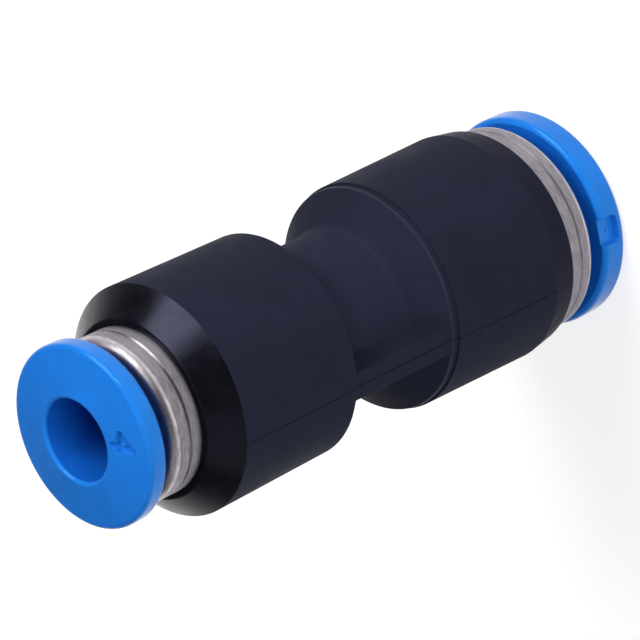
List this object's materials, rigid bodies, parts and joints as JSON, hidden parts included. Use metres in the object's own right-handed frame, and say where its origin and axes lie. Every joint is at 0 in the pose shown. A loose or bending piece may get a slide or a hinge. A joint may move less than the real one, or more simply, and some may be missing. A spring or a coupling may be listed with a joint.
{
  "type": "straight reducing push-in fitting",
  "caption": "Straight push-in fitting that joins a small and a large plastic tube: black moulded body, plated sleeves and a blue release ring at each end.",
  "frame": {"origin": "on the fitting's axis, in the plane of the large release ring's flat face", "axes": "+Z along the axis from the large end to the small end; +X in the mould's parting plane, along one of the neck's two ribs; +Y square to the ribs"},
  "size_m": [0.0125, 0.0124, 0.0341],
  "materials": {
    "body_plastic": "fine moulded texture",
    "release_ring_plastic": "satin",
    "plated_brass": "bright nickel plate, turned",
    "spring_steel": "rolled strip",
    "support_plastic": "moulded",
    "seal_rubber": "matte"
  },
  "bodies": {
    "housing": {"body": "body_plastic", "small_retaining_sleeve": "plated_brass", "large_retaining_sleeve": "plated_brass", "small_support_ring": "support_plastic", "large_support_ring": "support_plastic", "small_seal_ring": "seal_rubber", "large_seal_ring": "seal_rubber"},
    "small_grip": {"small_grip_ring": "spring_steel"},
    "small_ring": {"small_release_ring": "release_ring_plastic"},
    "large_grip": {"large_grip_ring": "spring_steel"},
    "large_ring": {"large_release_ring": "release_ring_plastic"}
  },
  "joints": [
    {"name": "small_ring_turn", "type": "hinge", "parent": "housing", "child": "small_grip", "pos_m": [0, 0, 0.03415], "axis": [0, 0, 1], "continuous": true},
    {"name": "small_ring_press", "type": "slide", "parent": "small_grip", "child": "small_ring", "axis": [0, 0, -1], "range_m": [0, 0.0007], "stiffness_N_per_m": 400, "springref_m": -0.001},
    {"name": "large_ring_turn", "type": "hinge", "parent": "housing", "child": "large_grip", "pos_m": [0, 0, 0], "axis": [0, 0, 1], "continuous": true},
    {"name": "large_ring_press", "type": "slide", "parent": "large_grip", "child": "large_ring", "axis": [0, 0, 1], "range_m": [0, 0.00072], "stiffness_N_per_m": 400, "springref_m": -0.001}
  ]
}
